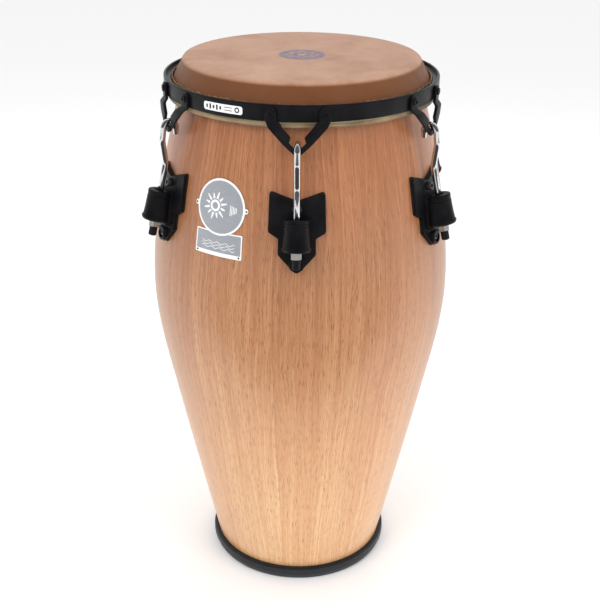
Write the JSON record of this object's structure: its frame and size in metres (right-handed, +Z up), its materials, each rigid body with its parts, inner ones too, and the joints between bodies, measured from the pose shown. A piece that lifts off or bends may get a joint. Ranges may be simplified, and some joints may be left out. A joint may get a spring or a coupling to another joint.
{
  "type": "conga drum",
  "caption": "Tall single-headed hand drum with a bellied wooden shell, a tension hoop with yokes, and a ring of nut-tightened tuning rods held in rubber-sleeved lugs.",
  "frame": {"origin": "on the drum's axis at the underside of the foot ring", "axes": "+Z up the drum's axis towards the head, -Y through the first lug"},
  "size_m": [0.4184, 0.4728, 0.762],
  "materials": {
    "wood_shell": "clear gloss lacquer over pale staved wood",
    "foot_rubber": "smooth dark grey rubber",
    "natural_skin": "matt natural hide",
    "skin_edge": "raw hide folded round a ring",
    "black_steel": "satin black powder coat",
    "black_rubber": "matt black rubber",
    "chrome_rod": "bright chrome plate",
    "zinc_nut": "bright zinc plate",
    "black_bolt": "black oxide",
    "silver_badge": "stamped satin silver sheet"
  },
  "bodies": {
    "drum": {"shell": "wood_shell", "base_ring": "foot_rubber", "drum_head": "natural_skin", "badge_plate": "silver_badge", "lug_gasket_1": "black_rubber", "lug_plate_1": "black_steel", "lug_sleeve_1": "black_rubber", "lug_bolt_upper_1": "black_bolt", "lug_bolt_lower_1": "black_bolt", "lug_gasket_2": "black_rubber", "lug_plate_2": "black_steel", "lug_sleeve_2": "black_rubber", "lug_bolt_upper_2": "black_bolt", "lug_bolt_lower_2": "black_bolt", "lug_gasket_3": "black_rubber", "lug_plate_3": "black_steel", "lug_sleeve_3": "black_rubber", "lug_bolt_upper_3": "black_bolt", "lug_bolt_lower_3": "black_bolt", "lug_gasket_4": "black_rubber", "lug_plate_4": "black_steel", "lug_sleeve_4": "black_rubber", "lug_bolt_upper_4": "black_bolt", "lug_bolt_lower_4": "black_bolt", "lug_gasket_5": "black_rubber", "lug_plate_5": "black_steel", "lug_sleeve_5": "black_rubber", "lug_bolt_upper_5": "black_bolt", "lug_bolt_lower_5": "black_bolt", "lug_gasket_6": "black_rubber", "lug_plate_6": "black_steel", "lug_sleeve_6": "black_rubber", "lug_bolt_upper_6": "black_bolt", "lug_bolt_lower_6": "black_bolt"},
    "rim": {"tension_hoop": "black_steel", "flesh_hoop": "skin_edge", "hoop_yoke_1": "black_steel", "hoop_yoke_2": "black_steel", "hoop_yoke_3": "black_steel", "hoop_yoke_4": "black_steel", "hoop_yoke_5": "black_steel", "hoop_yoke_6": "black_steel"},
    "rod_1": {"tuning_rod_1": "chrome_rod", "rod_end_cap_1": "black_rubber"},
    "nut_1": {"tuning_nut_1": "zinc_nut"},
    "rod_2": {"tuning_rod_2": "chrome_rod", "rod_end_cap_2": "black_rubber"},
    "nut_2": {"tuning_nut_2": "zinc_nut"},
    "rod_3": {"tuning_rod_3": "chrome_rod", "rod_end_cap_3": "black_rubber"},
    "nut_3": {"tuning_nut_3": "zinc_nut"},
    "rod_4": {"tuning_rod_4": "chrome_rod", "rod_end_cap_4": "black_rubber"},
    "nut_4": {"tuning_nut_4": "zinc_nut"},
    "rod_5": {"tuning_rod_5": "chrome_rod", "rod_end_cap_5": "black_rubber"},
    "nut_5": {"tuning_nut_5": "zinc_nut"},
    "rod_6": {"tuning_rod_6": "chrome_rod", "rod_end_cap_6": "black_rubber"},
    "nut_6": {"tuning_nut_6": "zinc_nut"}
  },
  "joints": [
    {"name": "nut_1_turn", "type": "hinge", "parent": "drum", "child": "nut_1", "pos_m": [0, -0.21112, 0.5993], "axis": [0, 0.238, 0.9713], "range_deg": [0, 2881]},
    {"name": "nut_2_turn", "type": "hinge", "parent": "drum", "child": "nut_2", "pos_m": [0.18284, -0.10556, 0.5993], "axis": [-0.2061, 0.119, 0.9713], "range_deg": [0, 2881]},
    {"name": "nut_3_turn", "type": "hinge", "parent": "drum", "child": "nut_3", "pos_m": [0.18284, 0.10556, 0.5993], "axis": [-0.2061, -0.119, 0.9713], "range_deg": [0, 2881]},
    {"name": "nut_4_turn", "type": "hinge", "parent": "drum", "child": "nut_4", "pos_m": [0, 0.21112, 0.5993], "axis": [0, -0.238, 0.9713], "range_deg": [0, 2881]},
    {"name": "nut_5_turn", "type": "hinge", "parent": "drum", "child": "nut_5", "pos_m": [-0.18284, 0.10556, 0.5993], "axis": [0.2061, -0.119, 0.9713], "range_deg": [0, 2881]},
    {"name": "nut_6_turn", "type": "hinge", "parent": "drum", "child": "nut_6", "pos_m": [-0.18284, -0.10556, 0.5993], "axis": [0.2061, 0.119, 0.9713], "range_deg": [0, 2881]},
    {"name": "rod_1_draw", "type": "slide", "parent": "drum", "child": "rod_1", "axis": [0, -0.238, -0.9713], "range_m": [0, 0.01002]},
    {"name": "rod_2_draw", "type": "slide", "parent": "drum", "child": "rod_2", "axis": [0.2061, -0.119, -0.9713], "range_m": [0, 0.01002]},
    {"name": "rod_3_draw", "type": "slide", "parent": "drum", "child": "rod_3", "axis": [0.2061, 0.119, -0.9713], "range_m": [0, 0.01002]},
    {"name": "rod_4_draw", "type": "slide", "parent": "drum", "child": "rod_4", "axis": [0, 0.238, -0.9713], "range_m": [0, 0.01002]},
    {"name": "rod_5_draw", "type": "slide", "parent": "drum", "child": "rod_5", "axis": [-0.2061, 0.119, -0.9713], "range_m": [0, 0.01002]},
    {"name": "rod_6_draw", "type": "slide", "parent": "drum", "child": "rod_6", "axis": [-0.2061, -0.119, -0.9713], "range_m": [0, 0.01002]},
    {"name": "rim_drop", "type": "slide", "parent": "drum", "child": "rim", "axis": [0, 0, -1], "range_m": [0, 0.00971]}
  ],
  "couplings": [
    {"joint": "nut_1_turn", "follows": "rim_drop", "rad_per_m": 5175.3},
    {"joint": "nut_2_turn", "follows": "rim_drop", "rad_per_m": 5175.3},
    {"joint": "nut_3_turn", "follows": "rim_drop", "rad_per_m": 5175.3},
    {"joint": "nut_4_turn", "follows": "rim_drop", "rad_per_m": 5175.3},
    {"joint": "nut_5_turn", "follows": "rim_drop", "rad_per_m": 5175.3},
    {"joint": "nut_6_turn", "follows": "rim_drop", "rad_per_m": 5175.3},
    {"joint": "rod_1_draw", "follows": "rim_drop", "ratio": 1.0296},
    {"joint": "rod_2_draw", "follows": "rim_drop", "ratio": 1.0296},
    {"joint": "rod_3_draw", "follows": "rim_drop", "ratio": 1.0296},
    {"joint": "rod_4_draw", "follows": "rim_drop", "ratio": 1.0296},
    {"joint": "rod_5_draw", "follows": "rim_drop", "ratio": 1.0296},
    {"joint": "rod_6_draw", "follows": "rim_drop", "ratio": 1.0296}
  ]
}
